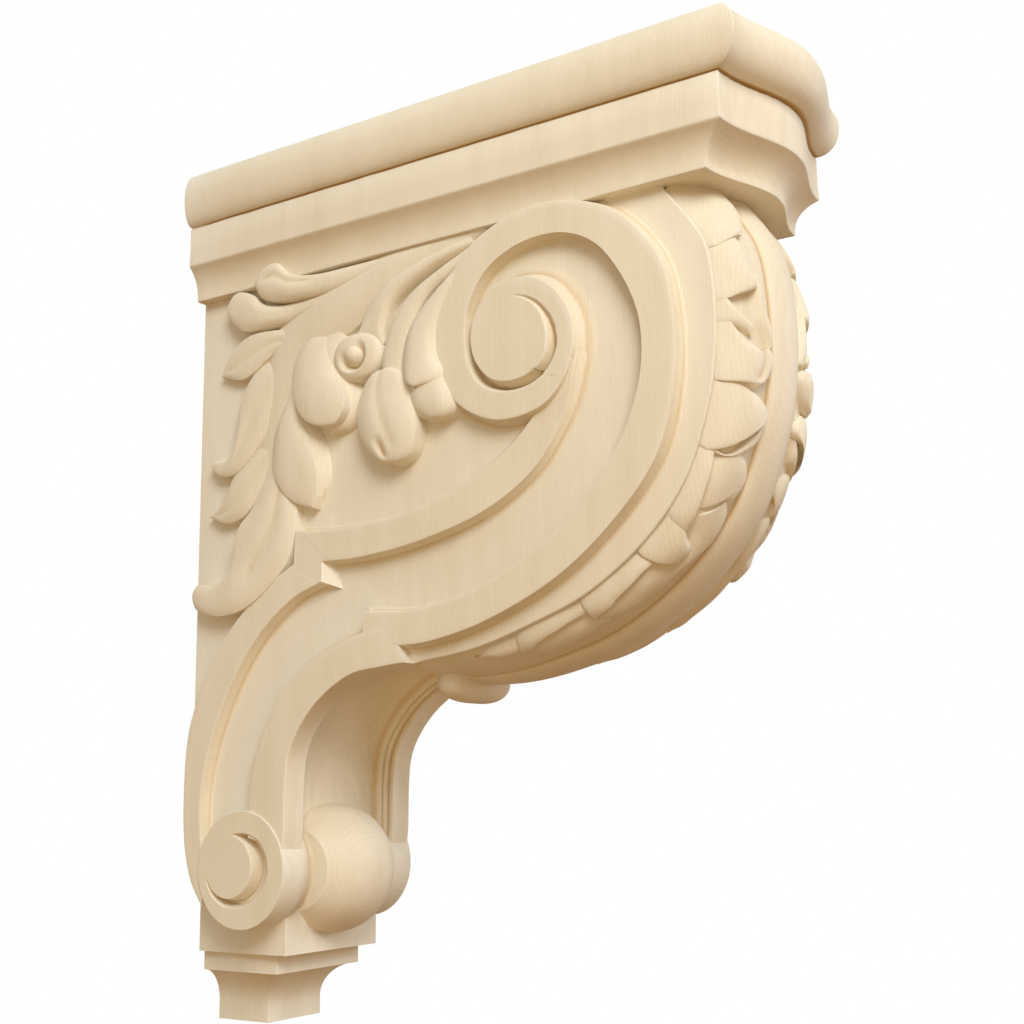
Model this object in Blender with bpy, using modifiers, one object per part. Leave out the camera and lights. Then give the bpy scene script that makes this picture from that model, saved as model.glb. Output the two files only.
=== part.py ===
"""A carved wooden corbel bracket: one solid of a moulded cap, a flat back board, two S-scroll cheeks,
a leafy belly with a midrib between them, a barrel between the foot volutes, and a coved foot.

Metres, +Z up. The back face lies on Y = 0 and the corbel stands out towards -Y, the same on both
sides of X = 0. The origin is on the back face, at half the height.
"""

import math

import bmesh
import bpy

# Overall sizes
HEIGHT = 0.3556
CAP_HEIGHT = 0.0569
CAP_WIDTH = 0.0884
CAP_DEPTH = 0.2511
BOW = 0.0094

# Cap mouldings, from the bottom up
CAP_LIP = 0.0018
COVE_HEIGHT = 0.0126
COVE_SIDE = 0.0051
COVE_FRONT = 0.0080
QUIRK = 0.0010
ROLL_HEIGHT = 0.0246
ROLL_SIDE = 0.0044
ROLL_FRONT = 0.0086
ROLL_BOW = 0.0103
ROLL_SETBACK = 0.0030

# Widths across the carving
CORE_WIDTH = 0.0684
CHEEK_WIDTH = 0.0790
VOLUTE_RISE = 0.0007
WALL_SLOPE = 0.0030
RIB_WIDTH = 0.0210
RIB_HEIGHT = 0.0040
CROWN = 0.0100
GROOVE = 0.0016
FADE_FROM = 0.72
FADE = 0.55

# Lower limb: the hollow between its cheeks, and the barrel between its volutes
HOLLOW_WIDTH = 0.0490
HOLLOW_EDGE = 0.0065
HOLLOW_DEEP = 0.0100
STEP_WIDTH = 0.0560
STEP_DEPTH = 0.0016
BARREL_WIDTH = 0.0430

# Foot
BLOCK_WIDTH = 0.0558
BLOCK_DEPTH = 0.0464
FOOT_HEIGHT = 0.0276
FILLET_WIDTH = 0.0499
FILLET_DEPTH = 0.0394
FILLET_HEIGHT = 0.0075
TOE_WIDTH = 0.0315
TOE_DEPTH = 0.0267
TOE_LIP = 0.0071

# The carving is drawn on a side view 840 units high and 700 deep, from the foot and from the wall.
BOARD_RISE = 840
BOARD_REACH = 700
REACH = 0.2489
RISE = HEIGHT - CAP_HEIGHT

ROUND_SIDES = 24
LEAF_STATIONS = 7
LEAF_ACROSS = 4
TIP_CROWD = 1.8
TIP_FROM = 0.72
TIP_LEAST = 0.16
OVERLAP = 0.0040


def depth(u):
    """Y of a drawn distance from the wall."""
    return -u * REACH / BOARD_REACH


def level(z):
    """Z of a drawn height."""
    return z * RISE / BOARD_RISE - HEIGHT / 2


def smooth(points, count, crowd=1.0):
    """count points on a Catmull-Rom curve through the drawn points, closer at its end if crowd is over 1."""
    if len(points) == 2:
        points = [points[0], tuple((a + b) / 2 for a, b in zip(*points)), points[1]]
    first = tuple(2 * a - b for a, b in zip(points[0], points[1]))
    last = tuple(2 * a - b for a, b in zip(points[-1], points[-2]))
    knots = [first, *points, last]
    curve = []
    for i in range(count):
        at = (1 - (1 - i / (count - 1)) ** crowd) * (len(points) - 1)
        k = min(int(at), len(points) - 2)
        t = at - k
        a, b, c, d = knots[k : k + 4]
        curve.append(tuple(
            0.5 * (2 * q + (r - p) * t + (2 * p - 5 * q + 4 * r - s) * t**2 + (3 * q - p - 3 * r + s) * t**3)
            for p, q, r, s in zip(a, b, c, d)
        ))
    return curve


def even(curve, count):
    """count points of the same distance apart along a dense curve."""
    run = [0.0]
    for a, b in zip(curve, curve[1:]):
        run.append(run[-1] + math.dist(a, b))
    points, k = [], 0
    for i in range(count):
        want = run[-1] * i / (count - 1)
        while k < len(run) - 2 and run[k + 1] < want:
            k += 1
        share = (want - run[k]) / max(run[k + 1] - run[k], 1e-9)
        points.append(tuple(a + (b - a) * share for a, b in zip(curve[k], curve[k + 1])))
    return points


def along(points, count):
    """A smooth curve through the drawn points, as count evenly spaced points."""
    return even(smooth(points, 24 * len(points)), count)


def arc(centre, radius, start, end, count):
    """count points on an arc, its angles in degrees from the +u direction."""
    angles = [math.radians(start + (end - start) * i / (count - 1)) for i in range(count)]
    return [(centre[0] + radius * math.cos(a), centre[1] + radius * math.sin(a)) for a in angles]


def unit(a, b):
    """The unit vector from a to b in the drawing."""
    length = math.dist(a, b) or 1.0
    return (b[0] - a[0]) / length, (b[1] - a[1]) / length


def add_object(name, mesh, collection):
    made = bpy.data.objects.new(name, mesh)
    collection.objects.link(made)
    return made


def loft(name, rings, collection):
    """A closed solid through rings of as many points each, with flat ends."""
    bm = bmesh.new()
    rows = [[bm.verts.new(p) for p in ring] for ring in rings]
    for low, high in zip(rows, rows[1:]):
        for i in range(len(low)):
            j = (i + 1) % len(low)
            bm.faces.new((low[i], low[j], high[j], high[i]))
    bm.faces.new(rows[0][::-1])
    bm.faces.new(rows[-1])
    bmesh.ops.triangulate(bm, faces=bm.faces)
    bmesh.ops.recalc_face_normals(bm, faces=bm.faces)
    mesh = bpy.data.meshes.new(name)
    bm.to_mesh(mesh)
    bm.free()
    return add_object(name, mesh, collection)


def mirrored(piece):
    """The same piece on the other cheek."""
    twin = piece.modifiers.new("other side", "MIRROR")
    twin.use_mirror_merge = False
    return piece


def slab(name, outline, half_width, collection):
    """A drawn outline carried straight across the corbel."""
    rings = [[(x, depth(u), level(z)) for u, z in outline] for x in (-half_width, half_width)]
    return loft(name, rings, collection)


def band(name, one_edge, other_edge, face, slopes, root, collection, rise=0.0):
    """A flat raised band between two drawn edges, its walls sloping out to the core's side. Its face comes
    forward by rise from the first station to the last."""
    rings = []
    floor = min(CORE_WIDTH / 2, face - OVERLAP / 4)
    for i, (a, b) in enumerate(zip(one_edge, other_edge)):
        top = face + rise * i / (len(one_edge) - 1)
        out = unit(b, a)
        spread = [s * BOARD_REACH / REACH for s in slopes]
        foot_a = (a[0] + out[0] * spread[0], a[1] + out[1] * spread[0])
        foot_b = (b[0] - out[0] * spread[1], b[1] - out[1] * spread[1])
        section = [(a, top), (b, top), (foot_b, floor), (foot_b, root), (foot_a, root), (foot_a, floor)]
        rings.append([(-x, depth(u), level(z)) for (u, z), x in section])
    return mirrored(loft(name, rings, collection))


def disc(name, centre, radius, face, collection):
    """A flat round eye with a sloping wall."""
    rings = []
    for x, grow in ((face, 0.0), (CORE_WIDTH / 2, WALL_SLOPE), (CORE_WIDTH / 2 - OVERLAP, WALL_SLOPE)):
        size = radius + grow * BOARD_REACH / REACH
        ring = arc(centre, size, 0, 360 - 360 / ROUND_SIDES, ROUND_SIDES)
        rings.append([(-x, depth(u), level(z)) for u, z in ring])
    return mirrored(loft(name, rings, collection))


def patch(name, corners, feet, face, collection):
    """A flat raised patch between two bands: feet are its corners where its walls meet the core's side."""
    floor = CORE_WIDTH / 2
    levels = ((face, corners), (floor, feet), (floor - OVERLAP, feet))
    rings = [[(-x, depth(u), level(z)) for u, z in ring] for x, ring in levels]
    return mirrored(loft(name, rings, collection))


def tip(share):
    """What is left of a leaf's width near its end, so that the end is round."""
    late = max(0.0, (share - TIP_FROM) / (1 - TIP_FROM))
    return max(math.sqrt(1 - late**2), TIP_LEAST)


def leaf(name, spine, widths, heights, side, collection):
    """A lobe: a half-ellipse section of varying width and height along a drawn spine, its end round.

    side(u, z, out) gives the place of a point that stands out from the carved ground.
    """
    centre = smooth(spine, LEAF_STATIONS, TIP_CROWD)
    left = [tip(1 - (1 - i / (LEAF_STATIONS - 1)) ** TIP_CROWD) for i in range(LEAF_STATIONS)]
    half = [w[0] / 2 for w in smooth([(w, 0) for w in widths], LEAF_STATIONS, TIP_CROWD)]
    rise = [h[0] for h in smooth([(h, 0) for h in heights], LEAF_STATIONS, TIP_CROWD)]
    half = [a * b for a, b in zip(half, left)]
    rise = [a * math.sqrt(b) for a, b in zip(rise, left)]
    rings = []
    for i, (u, z) in enumerate(centre):
        along_u, along_z = unit(centre[max(i - 1, 0)], centre[min(i + 1, LEAF_STATIONS - 1)])
        ring = []
        for k in range(LEAF_ACROSS + 1):
            angle = math.pi * k / LEAF_ACROSS
            shift = half[i] * math.cos(angle)
            ring.append(side(u - along_z * shift, z + along_u * shift, rise[i] * math.sin(angle)))
        for shift in (-half[i], half[i]):
            ring.append(side(u - along_z * shift, z + along_u * shift, -OVERLAP))
        rings.append(ring)
    return mirrored(loft(name, rings, collection))


def on_board(u, z, out):
    """A point that stands out from the flat side of the core."""
    return -(CORE_WIDTH / 2 + out), depth(u), level(z)


# Cap

def cap_section(side, front, z, bow=BOW):
    """One level of the cap: straight sides and a front that bows out, swept in towards its corners."""
    half = CAP_WIDTH / 2 + side
    steps = 14
    ring = [(half, 0.0, z)]
    for i in range(steps + 1):
        x = half * (1 - 2 * i / steps)
        ring.append((x, -(CAP_DEPTH + front + bow * math.cos(math.pi * x / (2 * half)) ** 2), z))
    ring.append((-half, 0.0, z))
    return ring


def cove_back(reach, share):
    """How far the cove is behind the fascia at a share of its height: an arc that starts upright."""
    whole = 2 * math.atan(reach / COVE_HEIGHT)
    turned_by = math.asin(share * math.sin(whole))
    return reach * (math.cos(turned_by) - math.cos(whole)) / (1 - math.cos(whole))


def make_cap(collection):
    """Lip, cove, fascia, quirk and a roll that leans back above its middle, mitred round three sides."""
    bottom = HEIGHT / 2 - CAP_HEIGHT
    rings = [cap_section(-COVE_SIDE, -COVE_FRONT, bottom)]
    cove_steps = 4
    for i in range(cove_steps + 1):
        share = i / cove_steps
        z = bottom + CAP_LIP + COVE_HEIGHT * share
        rings.append(cap_section(-cove_back(COVE_SIDE, share), -cove_back(COVE_FRONT, share), z))
    roll_bottom = HEIGHT / 2 - ROLL_HEIGHT
    rings.append(cap_section(0, 0, roll_bottom - QUIRK))
    rings.append(cap_section(-QUIRK, -QUIRK, roll_bottom - QUIRK))
    roll_steps = 7
    for i in range(roll_steps + 1):
        angle = math.pi * (i / roll_steps - 0.5)
        out = math.cos(angle)
        back = ROLL_SETBACK * (1 - out) if angle > 0 else 0.0
        z = roll_bottom + ROLL_HEIGHT / 2 * (1 + math.sin(angle))
        rings.append(cap_section(ROLL_SIDE * out - back, ROLL_FRONT * out - back, z, ROLL_BOW))
    return loft("Cap", rings, collection)


# Side view of the cheeks, in drawn units: the edges of each band, read on its flat face

LIMB_BACK = [(163, 503), (121, 480), (80, 448), (45, 408), (22, 366), (6, 322), (1, 268), (3, 205),
             (14, 160), (33, 130)]
LIMB_BACK_INNER = [(203, 479), (160, 463), (120, 434), (90, 401), (63, 358), (42, 310), (30, 262), (28, 225),
                   (32, 195), (42, 172)]
LIMB_FRONT = [(318, 384), (282, 381), (243, 375), (205, 354), (178, 328), (160, 297), (155, 262), (152, 192)]
LIMB_FRONT_INNER = [(300, 424), (262, 420), (222, 407), (183, 389), (148, 362), (122, 320), (106, 276),
                    (101, 192)]
BELLY = [(628, 838), (658, 797), (674, 765), (680, 715), (679, 668), (669, 610), (641, 540), (595, 485),
         (530, 440), (460, 413), (393, 394), (318, 384)]

UPPER_BAND = [(165, 539), (240, 536), (320, 543), (400, 569), (450, 598), (487, 636), (508, 668)]
UPPER_BAND_INNER = [(203, 501), (260, 501), (340, 511), (420, 534), (480, 572), (517, 622), (533, 675)]
INNER_TURN = [(502, 656), (508, 668), (509, 702), (499, 733), (479, 751), (450, 757), (430, 752)]
INNER_TURN_OUTER = [(524, 655), (532, 676), (532, 712), (514, 749), (480, 773), (444, 772), (415, 752)]
RING = [(300, 402), (350, 404), (420, 420), (500, 454), (565, 501), (618, 561), (640, 630), (643, 700),
        (629, 762), (585, 817), (530, 843), (470, 846), (410, 824), (372, 780), (358, 726), (366, 680),
        (395, 645), (440, 625), (490, 629), (530, 667)]
RING_INNER = [(264, 441), (330, 439), (400, 452), (470, 482), (528, 522), (575, 575), (602, 635), (607, 690),
              (594, 738), (562, 787), (520, 810), (470, 810), (428, 791), (404, 757), (399, 720), (405, 686),
              (421, 665), (448, 655), (478, 659), (500, 676)]
UPPER_EYE = ((450, 712), 47)
LOWER_DRUM = ((92, 170), 64)
BACK_STEP = [(170, 537), (208, 503), (203, 501), (198, 479), (159, 500), (165, 539)]
BACK_STEP_FOOT = [(170, 537), (212, 503), (212, 501), (222, 471), (159, 500), (165, 539)]
FRONT_STEP = [(270, 438), (306, 404), (300, 402), (300, 385), (262, 418), (264, 440)]
FRONT_STEP_FOOT = [(270, 438), (311, 404), (307, 402), (315, 387), (262, 418), (264, 440)]
VOLUTE_GROOVE = [(82, 212), (104, 209), (122, 198), (133, 178), (131, 160), (119, 144), (96, 131), (72, 129),
                 (52, 139), (41, 158)]
VOLUTE_GROOVE_INNER = [(81, 209), (94, 201), (104, 189), (108, 175), (107, 164), (101, 152), (88, 142), (73, 139),
                       (56, 144), (43, 160)]


def make_core(collection):
    """The back board and the body between the cheeks: everything up to their flat sides."""
    front = along(BELLY, 26)
    limb = along(LIMB_FRONT, 18)
    outline = [(0, 900), (front[0][0], 900)] + front + limb[1:] + [(130, 160), (40, 152), (0, 172)]
    return slab("Core", outline, CORE_WIDTH / 2, collection)


def make_cheeks(collection):
    """The S-scroll's raised bands, volutes and eyes, on both sides."""
    face = CHEEK_WIDTH / 2
    proud = face + VOLUTE_RISE
    root = CORE_WIDTH / 2 - OVERLAP
    inside = STEP_WIDTH / 2
    level_face = face - VOLUTE_RISE / 4
    slopes = (WALL_SLOPE, WALL_SLOPE)
    band("Limb back", along(LIMB_BACK, 22), along(LIMB_BACK_INNER, 22), level_face, (0, WALL_SLOPE), root,
         collection)
    band("Limb front", along(LIMB_FRONT, 18), along(LIMB_FRONT_INNER, 18), level_face, (0, WALL_SLOPE),
         inside, collection)
    band("Upper band", along(UPPER_BAND, 20), along(UPPER_BAND_INNER, 20), face, slopes, root, collection)
    band("Inner turn", along(INNER_TURN, 9), along(INNER_TURN_OUTER, 9), face, (0, WALL_SLOPE), root,
         collection)
    band("Ring", smooth(RING, 46), smooth(RING_INNER, 46), face, slopes, root, collection, rise=VOLUTE_RISE)
    disc("Upper eye", *UPPER_EYE, proud, collection)
    patch("Back step", BACK_STEP, BACK_STEP_FOOT, level_face, collection)
    patch("Front step", FRONT_STEP, FRONT_STEP_FOOT, level_face, collection)


# Belly between the cheeks

def belly_place(path, normals, share, x, out):
    """A point of the belly's front: at a share of its path, x across, standing out from the strip's edge."""
    at = share * (len(path) - 1)
    k = min(int(at), len(path) - 2)
    t = at - k
    u, z = (a + (b - a) * t for a, b in zip(path[k], path[k + 1]))
    n_u, n_z = (a + (b - a) * t for a, b in zip(normals[k], normals[k + 1]))
    return x, depth(u) - n_u * out, level(z) + n_z * out


def outward(path):
    """The drawn direction that stands out from each point of a path that runs down the front."""
    found = []
    for i in range(len(path)):
        along_u, along_z = unit(path[max(i - 1, 0)], path[min(i + 1, len(path) - 1)])
        found.append((-along_z, along_u))
    return found


def crown(x, run):
    """How far the belly swells in front of its edges, x from the middle, at a share of the way down."""
    half = CORE_WIDTH / 2 - GROOVE
    share = min(abs(x) / half, 1.0)
    late = max(0.0, (run - FADE_FROM) / (1 - FADE_FROM))
    fade = 1 - FADE * late**1.5
    swell = CROWN * fade * math.sqrt(1 - share**2) - GROOVE * share**6
    rib = max(0.0, 1 - (2 * x / RIB_WIDTH) ** 2) ** 0.5
    return swell + RIB_HEIGHT * fade * rib


def make_belly(path, normals, collection):
    """The swelling front with its midrib, from the cap's underside to the tongue."""
    half = CORE_WIDTH / 2 - GROOVE
    across = [half * math.sin(math.pi * (i / 12 - 0.5)) for i in range(13)]
    stations = 20
    rings = []
    for i in range(stations):
        share = i / (stations - 1)
        ring = [belly_place(path, normals, share, x, crown(x, share)) for x in across]
        ring += [belly_place(path, normals, share, x, -2 * OVERLAP) for x in (half, -half)]
        rings.append(ring)
    return loft("Belly", rings, collection)


def make_belly_leaves(path, normals, collection):
    """Leaflets that start beside the strip and curl in to the midrib, smaller towards the tongue."""
    start, end, count = 0.02, 0.88, 8
    outer = CORE_WIDTH / 2 - 5 * GROOVE
    inner = RIB_WIDTH / 2 + GROOVE

    def side(x_units, share_units, out):
        x = x_units / 1000
        share = min(max(share_units / 1000, 0.0), 1.0)
        return belly_place(path, normals, share, -x, crown(x, share) + out)

    for i in range(count):
        t = i / (count - 1)
        head = 1000 * (start + (end - start) * t)
        size = 1 - 0.3 * t
        spine = [(1000 * outer, head - 30), (1000 * (outer + inner) / 2 + 3, head + 4),
                 (1000 * inner + 6, head + 50 * size), (1000 * inner + 4, head + 96 * size)]
        widths = [7, 16 * size, 21 * size, 16 * size]
        heights = [0.001, 0.0040, 0.0058 * size, 0.0036]
        leaf(f"Belly leaf {i + 1}", spine, widths, heights, side, collection)


def make_tongue(collection):
    """The rolled end of the belly, under which the hollow of the limb starts."""
    return turned("Tongue", (329, 369), [(0, 23), (0.5, 22), (0.8, 16), (1, 0)], 0.021, collection)


def turned(name, centre, profile, half_width, collection):
    """A shape turned about a line across the corbel: (share of the half width, drawn radius) outwards."""
    mesh = bpy.data.meshes.new(name)
    radii = [(share * half_width, radius * RISE / BOARD_RISE) for share, radius in profile]
    run = [(radius, 0.0, x) for x, radius in reversed(radii)]
    run += [(radius, 0.0, -x) for x, radius in radii[1:]]
    mesh.from_pydata(run, [(i, i + 1) for i in range(len(run) - 1)], [])
    made = add_object(name, mesh, collection)
    screw = made.modifiers.new("turn", "SCREW")
    screw.steps = screw.render_steps = ROUND_SIDES
    screw.use_merge_vertices = True
    screw.merge_threshold = 0.0001
    made.location = (0, depth(centre[0]), level(centre[1]))
    made.rotation_euler = (0, math.pi / 2, 0)
    return made


def make_barrel(collection):
    """The rounded barrel between the foot volutes, and the drums with their rims on each side."""
    share = STEP_WIDTH / (CHEEK_WIDTH + 2 * VOLUTE_RISE)
    barrel = [(0, 72), (0.4, 70), (0.7, 65), (0.9, 57), (1, 50), (1, 0)]
    turned("Barrel", (126, 168), barrel, BARREL_WIDTH / 2, collection)
    drum = [(0, 58), (share - 0.08, 58), (share - 0.05, 61), (share, 61), (share + 0.02, 64), (1, 64),
            (1, 0)]
    turned("Drum", LOWER_DRUM[0], drum, CHEEK_WIDTH / 2 + VOLUTE_RISE / 2, collection)


def make_volute_groove(collection):
    """The groove that curls round the eye of each foot volute."""
    outer, inner = along(VOLUTE_GROOVE, 16), along(VOLUTE_GROOVE_INNER, 16)
    face = CHEEK_WIDTH / 2 + VOLUTE_RISE + OVERLAP / 4
    floor = CORE_WIDTH / 2 + GROOVE
    rings = []
    for a, b in zip(outer, inner):
        floor_a = tuple(p + (q - p) * 0.25 for p, q in zip(a, b))
        floor_b = tuple(q + (p - q) * 0.10 for p, q in zip(a, b))
        section = [(a, face), (b, face), (floor_b, floor), (floor_a, floor)]
        rings.append([(-x, depth(u), level(z)) for (u, z), x in section])
    return mirrored(loft("Volute groove", rings, collection))


# Foot

def foot_section(width, front, z):
    return [(-width / 2, 0, z), (width / 2, 0, z), (width / 2, -front, z), (-width / 2, -front, z)]


def make_foot(collection):
    """Toe, cove, fillet and block, square in plan and flat against the wall."""
    bottom = -HEIGHT / 2
    fillet_bottom = bottom + FOOT_HEIGHT - FILLET_HEIGHT
    rings = [foot_section(TOE_WIDTH, TOE_DEPTH, bottom)]
    steps = 6
    for i in range(steps + 1):
        angle = math.pi / 2 * i / steps
        share = 1 - math.cos(angle)
        z = bottom + TOE_LIP + (fillet_bottom - bottom - TOE_LIP) * math.sin(angle)
        rings.append(foot_section(TOE_WIDTH + (FILLET_WIDTH - TOE_WIDTH) * share,
                                  TOE_DEPTH + (FILLET_DEPTH - TOE_DEPTH) * share, z))
    rings.append(foot_section(FILLET_WIDTH, FILLET_DEPTH, bottom + FOOT_HEIGHT))
    rings.append(foot_section(BLOCK_WIDTH, BLOCK_DEPTH, bottom + FOOT_HEIGHT))
    rings.append(foot_section(BLOCK_WIDTH, BLOCK_DEPTH, level(LOWER_DRUM[0][1])))
    return loft("Foot", rings, collection)


# Hollow of the lower limb

def hollow(name, width, edge, deep, collection):
    """A cutter along the front of the limb: a coved floor behind the cheeks' front edges."""
    path = along(LIMB_FRONT, 18)
    normals = outward(path)
    stations = len(path)
    across = [width * (i / 8 - 0.5) for i in range(9)]
    rings = []
    for i in range(stations):
        share = i / (stations - 1)
        ring = []
        for x in across:
            sink = edge + (deep - edge) * math.sqrt(max(0.0, 1 - (2 * x / width) ** 2))
            ring.append(belly_place(path, normals, share, x, -sink))
        ring += [belly_place(path, normals, share, x, 2 * OVERLAP) for x in (width / 2, -width / 2)]
        rings.append(ring)
    return loft(name, rings, collection)


# Side leaves: (spine, widths, heights) in drawn units and metres, tip last

SIDE_LEAVES = {
    "Top leaf": ([(262, 838), (200, 838), (150, 838), (112, 843), (92, 850)], [20, 34, 38, 36, 20],
                 [0.002, 0.006, 0.0075, 0.0085, 0.006]),
    "Second leaf": ([(215, 806), (160, 803), (110, 806), (76, 817), (54, 828)], [16, 26, 34, 36, 20],
                    [0.003, 0.0045, 0.0055, 0.0065, 0.005]),
    "Third leaf": ([(175, 790), (130, 770), (92, 756), (62, 750), (38, 742)], [26, 40, 42, 32, 8],
                   [0.003, 0.0045, 0.0050, 0.0050, 0.002]),
    "Fourth leaf": ([(150, 765), (116, 720), (98, 675), (72, 643), (28, 629)], [34, 62, 50, 32, 8],
                    [0.003, 0.0045, 0.0050, 0.0050, 0.002]),
    "Fifth leaf": ([(132, 690), (118, 640), (92, 605), (62, 583), (24, 570)], [20, 36, 42, 34, 8],
                   [0.003, 0.0045, 0.0050, 0.0050, 0.002]),
    "Bottom leaf": ([(135, 650), (122, 590), (102, 530), (72, 486), (38, 474), (10, 483)],
                    [20, 40, 54, 48, 36, 22], [0.003, 0.0045, 0.0050, 0.0060, 0.0075, 0.006]),
    "Long leaf": ([(158, 790), (148, 725), (150, 660), (162, 612), (184, 566)], [22, 30, 46, 62, 44],
                  [0.003, 0.0045, 0.0055, 0.0070, 0.004]),
    "Round leaf": ([(215, 815), (188, 775), (183, 730), (190, 692), (204, 654)], [30, 46, 60, 64, 56],
                   [0.003, 0.0055, 0.0075, 0.0095, 0.008]),
    "Curl stem": ([(330, 834), (275, 812), (240, 785), (226, 752), (236, 722)], [30, 36, 36, 32, 24],
                  [0.003, 0.0050, 0.0060, 0.0070, 0.006]),
    "Pod": ([(300, 770), (285, 720), (282, 680), (286, 640), (292, 600)], [14, 32, 62, 76, 50],
            [0.003, 0.0050, 0.0080, 0.0090, 0.006]),
    "Pod stem": ([(400, 838), (335, 808), (302, 770), (290, 720), (286, 690)], [34, 44, 44, 36, 26],
                 [0.003, 0.0055, 0.0065, 0.0060, 0.004]),
    "Cup leaf": ([(440, 838), (380, 812), (346, 765), (336, 705), (346, 642)], [30, 44, 52, 60, 54],
                 [0.004, 0.0070, 0.0085, 0.0090, 0.008]),
}
CURL_EYE = ((243, 727), 15)


def make_side_leaves(collection):
    """The spray that hangs from the cap on the back board, on both sides."""
    for name, (spine, widths, heights) in SIDE_LEAVES.items():
        leaf(name, spine, widths, heights, on_board, collection)
    disc("Curl eye", *CURL_EYE, CHEEK_WIDTH / 2 - VOLUTE_RISE, collection)


def wood():
    """Pale limewood, carved and sanded: cream, close-grained and dull."""
    material = bpy.data.materials.new("Carved limewood")
    material.use_nodes = True
    shader = material.node_tree.nodes["Principled BSDF"]
    shader.inputs["Base Color"].default_value = (0.78, 0.66, 0.46, 1)
    shader.inputs["Roughness"].default_value = 0.6
    shader.inputs["Metallic"].default_value = 0.0
    return material


def helpers(name, parent):
    """A collection of solids that are joined to the corbel or cut from it, and not seen themselves."""
    made = bpy.data.collections.new(name)
    parent.children.link(made)
    return made


def main():
    for old in list(bpy.data.objects):
        bpy.data.objects.remove(old, do_unlink=True)
    parts = bpy.data.collections.new("Corbel")
    scene = bpy.context.scene.collection
    scene.children.link(parts)
    joined = helpers("Joined carving", scene)
    cutters = helpers("Cutters", scene)
    late_cutters = helpers("Cutters of the carved face", scene)

    core = make_core(parts)
    core.name = core.data.name = "corbel"
    core.data.materials.append(wood())

    hollow("Hollow", HOLLOW_WIDTH, HOLLOW_EDGE, HOLLOW_DEEP, cutters)
    hollow("Hollow step", STEP_WIDTH, STEP_DEPTH, STEP_DEPTH, cutters)

    make_volute_groove(late_cutters)

    path = along(BELLY, 60)
    normals = outward(path)
    make_cap(joined)
    make_cheeks(joined)
    make_belly(path, normals, joined)
    make_belly_leaves(path, normals, joined)
    make_tongue(joined)
    make_barrel(joined)
    make_foot(joined)
    make_side_leaves(joined)

    for helper in [*joined.objects, *cutters.objects, *late_cutters.objects]:
        helper.hide_render = True
        helper.display_type = "WIRE"

    cut = core.modifiers.new("hollow of the limb", "BOOLEAN")
    cut.operation = "DIFFERENCE"
    cut.operand_type = "COLLECTION"
    cut.collection = cutters
    join = core.modifiers.new("carving", "BOOLEAN")
    join.operation = "UNION"
    join.operand_type = "COLLECTION"
    join.collection = joined
    join.solver = "MANIFOLD"
    groove = core.modifiers.new("volute grooves", "BOOLEAN")
    groove.operation = "DIFFERENCE"
    groove.operand_type = "COLLECTION"
    groove.collection = late_cutters
    groove.solver = "MANIFOLD"


main()
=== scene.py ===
"""A carved limewood corbel: its visible surfaces, wood material, light and camera.

Every surface is drawn in units of a thousandth of the corbel's height: x across from the middle, u out
from the wall and z up from the foot. mesh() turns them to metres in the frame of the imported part.
"""
import math

import bpy
import numpy as np
from mathutils import Matrix


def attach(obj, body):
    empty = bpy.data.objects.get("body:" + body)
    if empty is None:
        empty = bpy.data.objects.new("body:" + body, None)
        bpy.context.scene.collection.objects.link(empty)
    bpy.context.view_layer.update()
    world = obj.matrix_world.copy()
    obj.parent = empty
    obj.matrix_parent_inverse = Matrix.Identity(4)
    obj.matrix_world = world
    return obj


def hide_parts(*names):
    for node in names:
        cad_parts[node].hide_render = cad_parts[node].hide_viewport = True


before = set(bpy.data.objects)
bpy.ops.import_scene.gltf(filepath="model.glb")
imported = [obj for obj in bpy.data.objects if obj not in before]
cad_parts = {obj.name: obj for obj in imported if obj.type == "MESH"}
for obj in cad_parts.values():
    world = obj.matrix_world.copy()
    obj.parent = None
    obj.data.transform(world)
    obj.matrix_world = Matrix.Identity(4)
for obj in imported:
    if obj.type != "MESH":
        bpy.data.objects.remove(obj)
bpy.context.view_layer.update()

HEIGHT = 0.3556
UNIT = HEIGHT / 1000

# Half widths to the carving's planes, then the spread and the arris of a raised wall, and how deep the foot
# of each raised form is sunk
CORE = 96.0
CHEEK = 111.0
VOLUTE = 112.6
GROUND = CORE - 0.6
WALL = 8.7
ARRIS = 1.3
BURY = 8.0

# Cap: half width and depth of its fascia, heights of its levels, and how far the front bows out
FASCIA = 124.2
FASCIA_DEPTH = 706.0
CAP_BOTTOM = 840.0
LIP = 5.0
COVE_RISE = 35.0
QUIRK = 929.1
QUIRK_TOP = 930.6
BOW = 26.5

# Cap mouldings: how far the cove runs in at the sides and the front, and the roll's height and reach
COVE_IN = 14.4
COVE_BACK = 23.0
ROLL_MIDDLE = 964.5
ROLL_OUT = 12.5
ROLL_FORWARD = 23.5
ROLL_STEPS = 26

# Foot block's top
FOOT_TOP = 170.0

# Belly between the cheeks: its swell and midrib, the dip at its edges, where and by how much the swell fades,
# and how far the body lies behind the strips
SWELL = 28.0
RIB = 11.0
RIB_HALF = 29.5
BELLY_HALF = 91.5
GUTTER = 9.0
FADE_FROM = 0.72
FADE = 0.55
STRIP_DROP = 11.0

# Half width of the cove in the limb
LIMB_COVE = 68.4


# Curves and surfaces

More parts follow.
